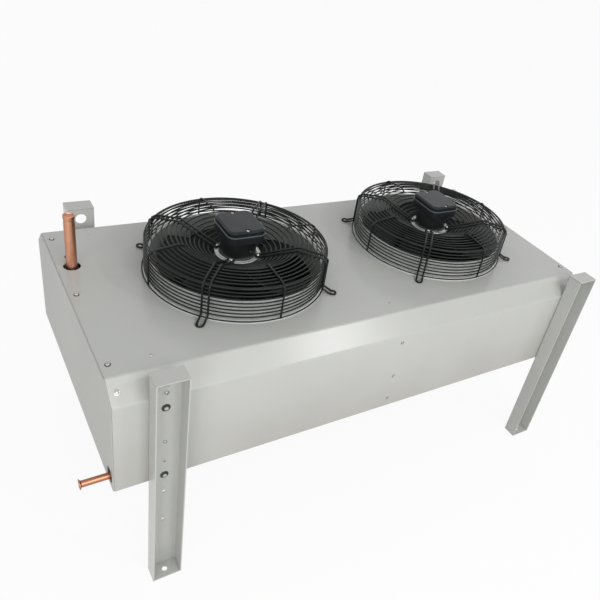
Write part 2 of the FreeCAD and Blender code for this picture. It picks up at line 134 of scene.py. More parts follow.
def folded_sheet(points, bend, sweep, thickness):
    """Sheet metal: a line with rounded bends, swept along and thickened towards its inside."""
    piece = drawn_line(points)
    edit(piece, everything=True)
    bpy.ops.mesh.bevel(offset=bend, segments=4, affect="VERTICES")
    bpy.ops.mesh.select_all(action="SELECT")
    bpy.ops.mesh.extrude_region_move(TRANSFORM_OT_translate={"value": sweep})
    bpy.ops.mesh.select_all(action="SELECT")
    bpy.ops.mesh.normals_make_consistent(inside=False)
    leave()
    return modify(piece, "SOLIDIFY", thickness=thickness, offset=-1.0, use_even_offset=True)


def block(low, high, rounding=0.0):
    """A box between two corners, with its edges rounded."""
    low, high = Vector(low), Vector(high)
    piece = add_primitive(bpy.ops.mesh.primitive_cube_add, size=1.0, location=(low + high) / 2,
                          scale=high - low)
    return round_edges(piece, rounding) if rounding else piece


def join(pieces):
    """Makes one piece of several, and returns it."""
    bpy.ops.object.select_all(action="DESELECT")
    for piece in pieces:
        piece.select_set(True)
    bpy.context.view_layer.objects.active = pieces[0]
    if len(pieces) > 1:
        bpy.ops.object.join()
    return bpy.context.object


def cut_away(piece, cutter):
    """Cuts the shape of a cutter out of a piece, and deletes the cutter."""
    modify(piece, "BOOLEAN", object=cutter, operation="DIFFERENCE", solver="EXACT")
    bpy.data.objects.remove(cutter)
    return piece


def drill(piece, holes, axis, depth=0.02, sides=32):
    """Cuts round holes, given as (radius, middle), along one axis."""
    cutters = []
    for radius, middle in holes:
        cutters.append(add_primitive(
            bpy.ops.mesh.primitive_cylinder_add, vertices=sides, radius=radius, depth=depth,
            location=middle, rotation=axis_turn[axis]))
    return cut_away(piece, join(cutters))


def dress(piece, name, material, body="casing", nodes=(), sharp=35.0):
    """Names and smooths a finished piece, gives it its material, and puts it on its body."""
    pick(piece)
    bpy.ops.object.transform_apply()
    bpy.ops.object.shade_smooth_by_angle(angle=math.radians(sharp))
    modify(piece, "WEIGHTED_NORMAL", keep_sharp=True, weight=100)
    piece.name = name
    piece.data.name = name
    piece.data.materials.clear()
    piece.data.materials.append(material)
    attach(piece, body)
    for node in nodes:
        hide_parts(node)
    return piece


def feed(tree, socket, value):
    """Gives a socket its value, or links it to the output that feeds it."""
    if isinstance(value, bpy.types.NodeSocket):
        tree.links.new(value, socket)
    else:
        socket.default_value = value


def add_node(tree, kind, inputs=(), **settings):
    """Adds a shader node with its settings; its inputs are given by name or number."""
    node = tree.nodes.new(kind)
    for name, value in settings.items():
        setattr(node, name, value)
    for label, value in dict(inputs).items():
        feed(tree, node.inputs[label], value)
    return node


def effect_group(name, inputs, output):
    """Starts a shader node group and returns it with its input and output nodes."""
    tree = bpy.data.node_groups.new(name, "ShaderNodeTree")
    for label, value in inputs.items():
        kind = "NodeSocketVector" if isinstance(value, tuple) else "NodeSocketFloat"
        tree.interface.new_socket(label, in_out="INPUT", socket_type=kind).default_value = value
    tree.interface.new_socket(output, in_out="OUTPUT", socket_type="NodeSocketFloat")
    return tree, tree.nodes.new("NodeGroupInput"), tree.nodes.new("NodeGroupOutput")


def make_cloudiness():
    """Broad, soft patches between 0 and 1, as in sprayed or cast surfaces."""
    tree, given, result = effect_group("cloudiness", {"Patches per metre": 6.0}, "Mask")
    place = add_node(tree, "ShaderNodeTexCoord")
    noise = add_node(tree, "ShaderNodeTexNoise", {
        "Vector": place.outputs["Object"], "Scale": given.outputs["Patches per metre"], "Detail": 2.5})
    spread = add_node(tree, "ShaderNodeMapRange", {
        "Value": noise.outputs["Fac"], "From Min": 0.2, "From Max": 0.8}, interpolation_type="SMOOTHSTEP")
    feed(tree, result.inputs["Mask"], spread.outputs["Result"])
    return tree


def make_grain():
    """Fine relief between 0 and 1; unequal stretch along the axes turns it into brushing."""
    tree, given, result = effect_group(
        "grain", {"Stretch": (1.0, 1.0, 1.0), "Grains per metre": 600.0}, "Relief")
    place = add_node(tree, "ShaderNodeTexCoord")
    stretch = add_node(tree, "ShaderNodeVectorMath", {
        0: place.outputs["Object"], 1: given.outputs["Stretch"]}, operation="MULTIPLY")
    noise = add_node(tree, "ShaderNodeTexNoise", {
        "Vector": stretch.outputs["Vector"], "Scale": given.outputs["Grains per metre"], "Detail": 2.0})
    feed(tree, result.inputs["Relief"], noise.outputs["Fac"])
    return tree


def make_settled_dust():
    """Where dust lies: on faces that look up, thinned by a patchy noise."""
    tree, given, result = effect_group("settled_dust", {"Amount": 0.2}, "Mask")
    place = add_node(tree, "ShaderNodeTexCoord")
    geometry = add_node(tree, "ShaderNodeNewGeometry")
    split = add_node(tree, "ShaderNodeSeparateXYZ", {"Vector": geometry.outputs["Normal"]})
    upward = add_node(tree, "ShaderNodeMapRange", {"Value": split.outputs["Z"], "From Min": 0.2})
    noise = add_node(tree, "ShaderNodeTexNoise", {
        "Vector": place.outputs["Object"], "Scale": 14.0, "Detail": 3.0})
    patches = add_node(tree, "ShaderNodeMapRange", {
        "Value": noise.outputs["Fac"], "From Min": 0.3, "From Max": 0.8}, interpolation_type="SMOOTHSTEP")
    both = add_node(tree, "ShaderNodeMath", {
        0: upward.outputs["Result"], 1: patches.outputs["Result"]}, operation="MULTIPLY")
    share = add_node(tree, "ShaderNodeMath", {
        0: both.outputs["Value"], 1: given.outputs["Amount"]}, operation="MULTIPLY")
    feed(tree, result.inputs["Mask"], share.outputs["Value"])
    return tree


cloudiness = make_cloudiness()
grain = make_grain()
settled_dust = make_settled_dust()
dust_colour = (0.42, 0.40, 0.36, 1.0)


def colour_mix(tree, mask, first, second):
    """Mixes two colours, either of which may be the output of a node, by a mask."""
    mix = add_node(tree, "ShaderNodeMix", data_type="RGBA")
    feed(tree, mix.inputs["Factor"], mask)
    ends = [socket for socket in mix.inputs if socket.type == "RGBA"]
    for socket, colour in zip(ends, (first, second)):
        feed(tree, socket, colour)
    return next(socket for socket in mix.outputs if socket.type == "RGBA")


def finish(name, light, dark, gloss, patches=6.0, relief=0.00002, grains=450.0,
           stretch=(1.0, 1.0, 1.0), metallic=0.0, dust=0.1, reflectance=0.5):
    """A surface between two tones and two roughnesses, with fine relief and settled dust."""
    material = bpy.data.materials.new(name)
    material.use_nodes = True
    tree = material.node_tree
    shader = tree.nodes["Principled BSDF"]
    clouds = add_node(tree, "ShaderNodeGroup", {"Patches per metre": patches}, node_tree=cloudiness)
    lying = add_node(tree, "ShaderNodeGroup", {"Amount": dust}, node_tree=settled_dust)
    texture = add_node(tree, "ShaderNodeGroup", {"Stretch": stretch, "Grains per metre": grains},
                       node_tree=grain)
    tone = colour_mix(tree, clouds.outputs["Mask"], dark + (1.0,), light + (1.0,))
    tone = colour_mix(tree, lying.outputs["Mask"], tone, dust_colour)
    rough = add_node(tree, "ShaderNodeMapRange", {
        "Value": clouds.outputs["Mask"], "To Min": gloss[0], "To Max": gloss[1]})
    bump = add_node(tree, "ShaderNodeBump", {
        "Height": texture.outputs["Relief"], "Strength": 1.0, "Distance": relief})
    feed(tree, shader.inputs["Metallic"], metallic)
    feed(tree, shader.inputs["Specular IOR Level"], reflectance)
    feed(tree, shader.inputs["Base Color"], tone)
    feed(tree, shader.inputs["Roughness"], rough.outputs["Result"])
    feed(tree, shader.inputs["Normal"], bump.outputs["Normal"])
    return material


def leg_web(node):
    """A leg's middle across, the outer face of its web, and the way it looks: -1 front, 1 back."""
    low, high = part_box(node)
    outward = -1.0 if "front" in node else 1.0
    web_back = high.y if outward < 0 else low.y
    return (low.x + high.x) / 2, web_back + outward * leg_sheet, outward


casing_coat = {
    "light": (0.500, 0.505, 0.478), "dark": (0.475, 0.480, 0.453), "gloss": (0.21, 0.265),
    "patches": 3.0, "relief": 0.00003, "dust": 0.05, "reflectance": 0.42,
}
casing_paint = finish("casing_powder_coat", **casing_coat)

for node in leg_nodes:
    low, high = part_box(node)
    middle_x, web_face, outward = leg_web(node)
    wall, tip = (high.y, low.y) if outward < 0 else (low.y, high.y)
    flange_top = high.z - leg_sheet - cap_gap
    line = [(low.x, tip, 0.0), (low.x, wall, 0.0), (high.x, wall, 0.0), (high.x, tip, 0.0)]
    channel = folded_sheet(line, leg_bend, Vector((0, 0, flange_top)), leg_sheet)
    web_middle = wall + outward * leg_sheet / 2
    holes = [(lifting_hole_radius, (middle_x, web_middle, high.z - lifting_hole_drop))]
    holes += [(web_hole_radius, (middle_x, web_middle, level)) for level in web_hole_levels]
    holes += [(small_hole_radius, (middle_x, web_middle, small_hole_level))]
    drill(channel, holes, "y")
    cap_front, cap_back = sorted((wall, tip))
    cap = block((low.x, cap_front, high.z - leg_sheet), (high.x, cap_back, high.z), cap_edge)
    inner, outer = sorted((web_face, tip - outward * foot_setback))
    foot = block((low.x + leg_sheet, inner, 0.0), (high.x - leg_sheet, outer, leg_sheet), foot_edge)
    drill(foot, [(anchor_radius, (middle_x, (wall + tip) / 2, leg_sheet / 2))], "z")
    round_edges(channel, leg_edge)
    dress(join([channel, cap, foot]), node + "_sheet", casing_paint, nodes=[node])


# Cowl. One 2 mm sheet folded over the whole cooler: top, two slopes, front and back, and a lip along each
# lower edge. Powder coated light grey. The fans, the inlet pipe and a cable grommet go through its top.
cowl_low, cowl_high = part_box("cowl")
sheet = 0.002
sheet_bend = 0.0035
sheet_edge = 0.0008
slope_run = 0.050
slope_drop = 0.046
bottom_lip = 0.014
fan_hole_radius = 0.211
inlet_hole_radius = 0.021
grommet_hole_radius = 0.006
rim_edge = 0.0007
rim_reach = 0.0005
rim_depth = 0.0002
header_offset = 0.036
inlet_x = cowl_low.x + header_offset
inlet_y = 0.130
grommet_y = 0.175
fan_centres = [Vector(joint["pos_m"]) for joint in frame["joints"]]
# Painted shade: the cowl's coat is darkened, patchily, towards its lower edge.
darkening_top = 0.62
darkening_foot = cowl_low.z - 0.05
darkening_share = 0.85
darkening_thinnest = 0.65
darkening_patches = 5.0
painted_shade_colour = (0.38, 0.365, 0.335, 1.0)


def select(kind, test):
    """In edit mode, selects the verts, edges or faces whose middle passes the test."""
    mesh = bpy.context.object.data
    cage = bmesh.from_edit_mesh(mesh)
    bpy.ops.mesh.select_mode(type={"verts": "VERT", "edges": "EDGE", "faces": "FACE"}[kind])
    for element in getattr(cage, kind):
        if kind == "verts":
            middle = element.co
        elif kind == "edges":
            middle = (element.verts[0].co + element.verts[1].co) / 2
        else:
            middle = element.calc_center_median()
        element.select_set(bool(test(middle)))
    cage.select_flush_mode()
    bmesh.update_edit_mesh(mesh)


def soften_rim(piece, centre, radius, axis):
    """Rounds the rim of a hole where it opens on the face that its centre lies on."""
    edit(piece)
    select("edges", lambda p: abs(getattr(p, axis) - getattr(centre, axis)) < rim_depth
           and abs((p - centre).length - radius) < rim_reach)
    bpy.ops.mesh.bevel(offset=rim_edge, segments=2, affect="EDGES")
    leave()


section = [
    (-cowl_high.y + bottom_lip, cowl_low.z),
    (-cowl_high.y, cowl_low.z),
    (-cowl_high.y, cowl_high.z - slope_drop),
    (-cowl_high.y + slope_run, cowl_high.z),
]
section += [(-y, z) for y, z in reversed(section)]
line = [(cowl_low.x, y, z) for y, z in section]
cowl = folded_sheet(line, sheet_bend, Vector((cowl_high.x - cowl_low.x, 0, 0)), sheet)
round_edges(cowl, sheet_edge)
top_middle = cowl_high.z - sheet / 2
drill(cowl, [(fan_hole_radius, (c.x, c.y, top_middle)) for c in fan_centres], "z", sides=96)
drill(cowl, [
    (inlet_hole_radius, (inlet_x, inlet_y, top_middle)),
    (grommet_hole_radius, (inlet_x, grommet_y, top_middle)),
], "z", sides=48)
soften_rim(cowl, Vector((inlet_x, inlet_y, cowl_high.z)), inlet_hole_radius, "z")


def make_cowl_paint():
    """The casing's coat with painted shade, patchy, that darkens it towards the lower edge."""
    material = finish("cowl_powder_coat", **casing_coat)
    tree = material.node_tree
    colour = tree.nodes["Principled BSDF"].inputs["Base Color"]
    place = add_node(tree, "ShaderNodeTexCoord")
    split = add_node(tree, "ShaderNodeSeparateXYZ", {"Vector": place.outputs["Object"]})
    descent = add_node(tree, "ShaderNodeMapRange", {
        "Value": split.outputs["Z"], "From Min": darkening_top, "From Max": darkening_foot, "To Max": darkening_share,
    }, interpolation_type="SMOOTHSTEP")
    clouds = add_node(tree, "ShaderNodeGroup", {"Patches per metre": darkening_patches}, node_tree=cloudiness)
    darkening_patchiness = add_node(tree, "ShaderNodeMapRange", {
        "Value": clouds.outputs["Mask"], "To Min": darkening_thinnest})
    painted_shade = add_node(tree, "ShaderNodeMath", {
        0: descent.outputs["Result"], 1: darkening_patchiness.outputs["Result"]}, operation="MULTIPLY")
    tone = colour_mix(tree, painted_shade.outputs["Value"], colour.links[0].from_socket, painted_shade_colour)
    feed(tree, colour, tone)
    return material


dress(cowl, "cowl_sheet", make_cowl_paint(), nodes=["cowl"])


# End panels. Pans whose flanges lie under the ends of the cowl, in a duller copy of its coat painted darker
# as shade. The left one has the oversize hole for the outlet pipe.
outlet_y = -0.335
outlet_hole_z = 0.371
outlet_hole_radius = 0.020
panel_bend = 0.0014
panel_play = 0.001
near = 0.00001
# Painted shade: the end panels' coat is a darker copy of the casing's, for the faces turned away from the
# light.
shaded_panel_paint = finish("panel_coat_with_painted_shade", light=(0.440, 0.440, 0.413), dark=(0.412, 0.410, 0.384),
                     gloss=(0.36, 0.46), patches=3.0, relief=0.00003, dust=0.05, reflectance=0.32)

for node, inward in (("end_panel_left", 1.0), ("end_panel_right", -1.0)):
    low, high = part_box(node)
    face_x = low.x if inward > 0 else high.x
    flange = (high.x - low.x) * inward
    run, drop = slope_run - panel_play, slope_drop - panel_play
    half = [(-high.y, low.z), (-high.y, high.z - drop), (-high.y + run, high.z)]
    outline = half + [(-y, z) for y, z in reversed(half)]
    panel = drawn_line([(face_x, y, z) for y, z in outline], filled=True)
    edit(panel)
    select("edges", lambda p: p.z > low.z + near)
    bpy.ops.mesh.extrude_edges_move(TRANSFORM_OT_translate={"value": (flange, 0, 0)})
    select("edges", lambda p: abs(p.x - face_x) < near and p.z > low.z + near)
    bpy.ops.mesh.bevel(offset=panel_bend, segments=4, affect="EDGES")
    bpy.ops.mesh.select_all(action="SELECT")
    bpy.ops.mesh.normals_make_consistent(inside=False)
    leave()
    modify(panel, "SOLIDIFY", thickness=sheet, offset=-1.0, use_even_offset=True)
    if node == "end_panel_left":
        outlet_hole = Vector((face_x, outlet_y, outlet_hole_z))
        drill(panel, [(outlet_hole_radius, outlet_hole + Vector((sheet / 2, 0, 0)))], "x", sides=48)
        drill(panel, [(inlet_hole_radius, (inlet_x, inlet_y, high.z - sheet / 2))], "z", sides=48)
        soften_rim(panel, outlet_hole, outlet_hole_radius, "x")
    dress(panel, node + "_sheet", shaded_panel_paint, nodes=[node])


# Tube sheets and fan partition. Bare galvanised pans inside the cowl: two close the ends of the coil, one
# parts the two fans. They keep the shape of the frame.
zinc_sheet = finish("galvanised_sheet", light=(0.46, 0.48, 0.49), dark=(0.34, 0.36, 0.37), gloss=(0.32, 0.48),
                    patches=45.0, relief=0.00001, grains=900.0, metallic=0.85)


def coat_node(node, material):
    """Gives a node that keeps the shape of the frame its material."""
    mesh = frame["nodes"][node].data
    mesh.materials.clear()
    mesh.materials.append(material)


for node in ("tube_sheet_left", "tube_sheet_right", "fan_partition"):
    coat_node(node, zinc_sheet)


# Fin pack. Aluminium fins, pressed in one die and pushed on the coil's tubes, between two tube sheets. Each
# fin is a thin plate, bent a little along its middle; the pack is open from below.
fin_low, fin_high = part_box("fin_pack")
fin_pitch = 0.003
fin_thickness = 0.00035
fin_wave = 0.0006
fin_middle = (fin_low.z + fin_high.z) / 2
fin_count = int((fin_high.x - fin_low.x - 2 * fin_pitch) / fin_pitch)
fin_aluminium = finish("fin_aluminium", light=(0.62, 0.63, 0.64), dark=(0.50, 0.51, 0.52), gloss=(0.30, 0.42),
                       patches=12.0, relief=0.00001, grains=500.0, stretch=(1.0, 1.0, 6.0),
                       metallic=0.9, dust=0.15)
bpy.ops.object.select_all(action="DESELECT")
bpy.ops.mesh.primitive_plane_add(
    size=1.0, location=(fin_low.x + fin_pitch, 0, fin_middle), rotation=(0, math.pi / 2, 0))
fins = bpy.context.object
fins.scale = (fin_high.z - fin_low.z, fin_high.y - fin_low.y, 1.0)
bpy.ops.object.transform_apply()
edit(fins, everything=True)
bpy.ops.mesh.bisect(plane_co=(0, 0, fin_middle), plane_no=(0, 0, 1))
select("verts", lambda p: abs(p.z - fin_middle) < near)
bpy.ops.transform.translate(value=(fin_wave, 0, 0))
leave()
modify(fins, "SOLIDIFY", thickness=fin_thickness, offset=0.0)
modify(fins, "ARRAY", count=fin_count, use_relative_offset=False, use_constant_offset=True,
       constant_offset_displace=(fin_pitch, 0, 0))
dress(fins, "fin_pack_fins", fin_aluminium, nodes=["fin_pack"])


# Return bends. Copper hairpins brazed to the tube ends outside the right tube sheet, one for each circuit.
# They are bent from the same drawn tube as the coil: brown, with painted shade where they turn away.
circuit_pitch = 0.100
circuits = 7
circuit_places = [circuit_pitch * (i - (circuits - 1) / 2) for i in range(circuits)]
coil_tube_radius = 0.008
row_levels = (0.367, 0.417)
sheet_face = 0.680
hairpin_bend = 0.012
# Painted shade: the copper is darkened where its wall turns away from view.
edge_shade_colour = (0.20, 0.070, 0.035, 1.0)
edge_shade_start = 0.42
hairpin_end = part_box("return_bends")[1].x - coil_tube_radius


def bent_bar(points, bend, radius, sides=3):
    """Round bar or tube along a line with rounded bends; sides is the bevel resolution."""
    edit(drawn_line(points), everything=True)
    bpy.ops.mesh.bevel(offset=bend, segments=6, affect="VERTICES")
    leave()
    bpy.ops.object.convert(target="CURVE")
    bar = bpy.context.object
    bar.data.bevel_depth = radius
    bar.data.bevel_resolution = sides
    bar.data.use_fill_caps = True
    bpy.ops.object.convert(target="MESH")
    return bpy.context.object


def make_copper(name, light, dark):
    """Copper tube: drawn metal with painted shade that deepens where the wall turns away."""
    material = finish(name, light, dark, gloss=(0.30, 0.40), patches=11.0, relief=0.000008, grains=160.0,
                      stretch=(1.0, 1.0, 0.15), metallic=1.0, dust=0.05)
    tree = material.node_tree
    colour = tree.nodes["Principled BSDF"].inputs["Base Color"]
    turned = add_node(tree, "ShaderNodeLayerWeight", {"Blend": edge_shade_start})
    feed(tree, colour, colour_mix(tree, turned.outputs["Facing"], colour.links[0].from_socket, edge_shade_colour))
    return material


copper = make_copper("copper_tube", light=(0.78, 0.40, 0.26), dark=(0.58, 0.27, 0.17))
hairpins = []
for y in circuit_places:
    lower = [(x, y, row_levels[0]) for x in (sheet_face, hairpin_end)]
    upper = [(x, y, row_levels[1]) for x in (hairpin_end, sheet_face)]
    hairpins.append(bent_bar(lower + upper, hairpin_bend, coil_tube_radius))
dress(join(hairpins), "return_bends_tube", copper, nodes=["return_bends"])


# Headers with their pipes. Drawn copper tube, closed by domed caps, with the ends of the coil's tubes brazed
# in. The inlet stands up through the top; the outlet, in a darker, browner copy of the copper that is painted
# shade, runs level through the left end and has a flared lip.
# Painted shade: the outlet's copper is a darker copy, which damps the lamp's highlight on it.
shaded_copper = make_copper("shaded_copper_tube", light=(0.60, 0.28, 0.17), dark=(0.45, 0.19, 0.115))
header_x = inlet_x
outlet_level, inlet_level = row_levels
inlet_header_radius = 0.021
outlet_header_radius = 0.0175
inlet_radius = 0.014
outlet_radius = 0.008
outlet_bore = 0.0068
outlet_depth = 0.090
outlet_lip_radius = 0.0123
branch_collar_radius = 0.016
branch_collar_top = 0.027
branch_collar_edge = 0.001
dome_share = 0.45
braze = 0.0016
swage = 0.0006
tube_run = -sheet_face - header_x
pipe_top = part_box("inlet_stub")[1].z - inlet_level
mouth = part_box("outlet_header")[0].x - header_x


def lathe(profile, centre, axis="z", steps=64):
    """Turned piece: an outline of (radius, height) points spun about an axis through a centre."""
    along = {"x": (1, 0, 0), "y": (0, 1, 0), "z": (0, 0, 1)}[axis]
    out = Vector((0, 0, 1)) if axis == "x" else Vector((1, 0, 0))
    piece = drawn_line([out * radius + Vector(along) * height + centre for radius, height in profile])
    edit(piece, everything=True)
    bpy.ops.mesh.spin(steps=steps, angle=2 * math.pi, center=centre, axis=along)
    bpy.ops.mesh.select_all(action="SELECT")
    bpy.ops.mesh.remove_doubles(threshold=weld)
    bpy.ops.mesh.normals_make_consistent(inside=False)
    leave()
    return piece


def quarter_arc(radius, height):
    """Points from the wall up to the middle of a dome."""
    angles = [math.radians(degrees) for degrees in range(0, 90, 15)]
    return [(radius * math.cos(a), height * math.sin(a)) for a in angles] + [(0.0, height)]


def header_tube(node, radius, level):
    """A header: a level tube with a domed cap at each end."""
    low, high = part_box(node)
    crown = radius * dome_share
    arc = quarter_arc(radius, crown)
    profile = [(r, low.y + crown - h) for r, h in reversed(arc)] + [(r, high.y - crown + h) for r, h in arc]
    return lathe(profile, Vector((header_x, 0, level)), "y", 40)


def round_ring(radius, wire, centre, axis="z", steps=96):
    """A ring of round wire or braze about an axis."""
    return add_primitive(
        bpy.ops.mesh.primitive_torus_add, major_segments=steps, minor_segments=8, major_radius=radius,
        minor_radius=wire, location=centre, rotation=axis_turn[axis])


inlet_parts = [header_tube("inlet_header", inlet_header_radius, inlet_level)]
outlet_parts = [header_tube("outlet_header", outlet_header_radius, outlet_level)]
tube = [(0.0, 0.0), (coil_tube_radius, 0.0), (coil_tube_radius, tube_run), (0.0, tube_run)]
for y in circuit_places:
    for parts, level, radius in ((inlet_parts, inlet_level, inlet_header_radius),
                                 (outlet_parts, outlet_level, outlet_header_radius)):
        parts.append(lathe(tube, Vector((header_x, y, level)), "x", 20))
        parts.append(round_ring(coil_tube_radius, braze, Vector((header_x + radius, y, level)), "x", 32))
stub = [(0.0, 0.0), (inlet_radius - swage, 0.0)]
for inward, drop in (
    (swage, 0.020), (2 * swage, 0.017), (2 * swage, 0.013), (swage, 0.010), (0.0, 0.006), (0.0, 0.001),
    (0.001, 0.0), (0.0028, 0.0), (0.0036, 0.0018), (inlet_radius, 0.0024),
):
    stub.append((inlet_radius - inward, pipe_top - drop))
branch = [
    (0.0, 0.0), (branch_collar_radius, 0.0), (branch_collar_radius, branch_collar_top - branch_collar_edge),
    (branch_collar_radius - branch_collar_edge, branch_collar_top), (0.0, branch_collar_top),
]
pipe_foot = Vector((header_x, inlet_y, inlet_level))
branch_end = pipe_foot + Vector((0, 0, branch_collar_top))
stub_parts = [
    lathe(stub, pipe_foot, "z", 48),
    lathe(branch, pipe_foot, "z", 48),
    round_ring(inlet_radius, braze, branch_end, "z", 32),
]
spout = [(0.0, 0.0), (outlet_radius, 0.0)]
for radius, depth in (
    (outlet_radius, 0.0050), (outlet_radius + 0.0012, 0.0032), (outlet_lip_radius, 0.0014),
    (outlet_lip_radius, 0.0), (outlet_bore + 0.0012, 0.0), (outlet_bore, 0.0020), (outlet_bore, outlet_depth),
    (0.0, outlet_depth),
):
    spout.append((radius, mouth + depth))
outlet_parts.append(lathe(spout, Vector((header_x, outlet_y, outlet_level)), "x", 48))
dress(join(inlet_parts), "inlet_header_tube", copper, nodes=["inlet_header"])
dress(join(stub_parts), "inlet_stub_tube", copper, nodes=["inlet_stub"])
dress(join(outlet_parts), "outlet_header_tube", shaded_copper, nodes=["outlet_header"])


# Rubber parts. A closed black grommet, pressed into its hole in the top beside the inlet pipe, and a black
# ring in the hole that the outlet pipe leaves through: painted shade for the dark inside of that hole.
grommet_rubber = finish("grommet_rubber", light=(0.022, 0.022, 0.022), dark=(0.012, 0.012, 0.012),
                        gloss=(0.55, 0.7), patches=60.0, grains=1500.0, dust=0.2)
grommet_rim = 0.0083
grommet_neck = 0.0058
shade_ring_throat = 0.0126
shade_ring_rim = outlet_hole_radius + 0.002
shade_ring_groove = outlet_hole_radius - 0.0001
shade_ring_cheek = 0.0011
grommet = lathe([
    (0.0, -0.0035), (0.0075, -0.0035), (grommet_rim, -0.0028), (grommet_rim, -0.0021),
    (grommet_neck, -0.0021), (grommet_neck, 0.0), (grommet_rim, 0.0), (grommet_rim, 0.0012),
    (0.0072, 0.0024), (0.0035, 0.0026), (0.0, 0.0016),
], Vector((inlet_x, grommet_y, cowl_high.z)), "z", 32)
dress(grommet, "cable_grommet_rubber", grommet_rubber, nodes=["cable_grommet"])
# Painted shade: a black ring that fills the outlet hole round the pipe, where the hole's inside lies in
# shade.
shade_ring_half = [
    (shade_ring_throat, 0.0018), (shade_ring_rim - 0.001, 0.0024), (shade_ring_rim, 0.0016), (shade_ring_rim, shade_ring_cheek),
    (shade_ring_groove, shade_ring_cheek),
]
shade_ring_line = shade_ring_half + [(r, -h) for r, h in reversed(shade_ring_half)] + shade_ring_half[:1]
shade_ring = lathe(shade_ring_line, Vector((cowl_low.x + sheet / 2, outlet_y, outlet_hole_z)), "x", 48)
dress(shade_ring, "outlet_hole_shade_ring", grommet_rubber)


# Fan collars. Pressed steel rings on the top, coated lighter than the casing, partly as painted light, with a
# rounded bead around the foot and a wall that widens upwards to a rolled edge. A dark skin over the wall's
# inside is painted shade.
# Partly painted light: the collar's coat is lighter than the casing's, also standing for the light on its
# outer wall.
collar_paint_and_light = finish("collar_coat_and_painted_light", light=(0.64, 0.65, 0.63), dark=(0.60, 0.61, 0.59), gloss=(0.28, 0.36),
                      patches=5.0, dust=0.05)
# Painted shade: the dark coat of the skin laid over the inside of the collar wall.
throat_painted_shade = finish("throat_shade_coat", light=(0.200, 0.205, 0.195), dark=(0.125, 0.130, 0.122),
                      gloss=(0.45, 0.60), patches=9.0, dust=0.05, reflectance=0.3)
collar_height = 0.056
throat_radius = 0.209
collar_flange_radius = 0.246
collar_gap = 0.0003
collar_wall = 0.002
flange_face = 0.0018
bead_height = 0.0065
bead_width = 0.010
bead_foot = 0.0015
bead_middle = collar_flange_radius - bead_width / 2
wall_foot = 0.002
inner_top = throat_radius + 0.020
outer_top = inner_top + collar_wall
rolled_edge = outer_top + 0.0016
shade_skin = 0.0006
shade_skin_top = collar_height - 0.0035
fan_shift = fan_centres[1] - fan_centres[0]


def copy_to(piece, shift):
    """A copy of a piece with its own mesh, moved by a shift."""
    pick(piece)
    bpy.ops.object.duplicate()
    copy = bpy.context.object
    copy.location += shift
    bpy.ops.object.transform_apply()
    return copy


def dress_both(piece, name, material, nodes=(), sharp=35.0, moving=False):
    """Dresses a piece of the first fan and a copy of it on the second."""
    pieces = [piece, copy_to(piece, fan_shift)]
    for number, part in enumerate(pieces, start=1):
        body = "fan_%d_rotor" % number if moving else "casing"
        names = ["fan_%d_%s" % (number, node) for node in nodes]
        dress(part, "fan_%d_%s" % (number, name), material, body, names, sharp)


profile = [(collar_flange_radius, collar_gap), (collar_flange_radius, bead_foot)]
for angle in (math.radians(degrees) for degrees in range(15, 180, 15)):
    bead_rise = (bead_height - bead_foot) * math.sin(angle)
    profile.append((bead_middle + bead_width / 2 * math.cos(angle), bead_foot + bead_rise))
profile += [
    (collar_flange_radius - bead_width, flange_face), (throat_radius + 0.006, flange_face),
    (throat_radius + 0.0035, 0.004), (outer_top - 0.001, collar_height - 0.004),
    (rolled_edge, collar_height - 0.003), (rolled_edge, collar_height - 0.001), (outer_top, collar_height),
    (inner_top, collar_height), (inner_top - 0.001, collar_height - 0.003),
    (throat_radius + 0.0008, wall_foot), (throat_radius, collar_gap), (collar_flange_radius, collar_gap),
]
dress_both(lathe(profile, fan_centres[0], "z", 96), "collar_ring", collar_paint_and_light, ["collar"])
# Painted shade: a thin dark skin over the wall's inside, where it lies in shade.
profile = [
    (throat_radius, wall_foot), (inner_top - 0.001 - shade_skin, shade_skin_top), (inner_top + shade_skin, shade_skin_top),
    (throat_radius + 0.002, wall_foot), (throat_radius, wall_foot),
]
dress_both(lathe(profile, fan_centres[0], "z", 96), "collar_throat", throat_painted_shade)


# Wire guards. Welded from black-coated round wire: a ring on the collar's bead, rings up the side and across
# the dished top, doubled spokes that end in a screw eye on the casing and in a loop on the motor flange, and
# short single spokes.
guard_paint = finish("guard_coat", light=(0.010, 0.013, 0.012), dark=(0.006, 0.008, 0.007),
                     gloss=(0.28, 0.36), patches=20.0, grains=700.0, dust=0.03, reflectance=0.24)
ring_wire = 0.0020
spoke_wire = 0.0029
short_spoke_wire = spoke_wire * 0.85
guard_radius = 0.2405
guard_height = 0.105
guard_turn = 3.5
spoke_angles = [math.radians(degrees + guard_turn) for degrees in (45, 135, 225, 315)]
short_spoke_angles = [math.radians(degrees + guard_turn) for degrees in (0, 90, 180, 270)]
ridge_radius = 0.165
ridge_height = 0.112
shoulder = 0.232
shoulder_slope = 0.5
side = guard_radius + ring_wire + spoke_wire
side_top = guard_height - 0.010
side_foot = 0.013
flange_top = 0.060
flange_radius = 0.062
spoke_start = flange_top + spoke_wire
inner_loop = 0.0575
loop_radius = 0.0085
foot_reach = 0.022
eye_place = 0.275
spoke_bend = 0.0025
loop_bend = 0.0015
short_spoke_bend = 0.0040
short_spoke_start = 0.150
short_spoke_foot = 0.004
foot_ring_radius = 0.2457
foot_ring_level = 0.0054
side_ring_low = 0.0152
side_ring_pitch = 0.0103
side_ring_count = 9
top_ring_first = 0.078
top_ring_last = 0.236
top_ring_count = 14


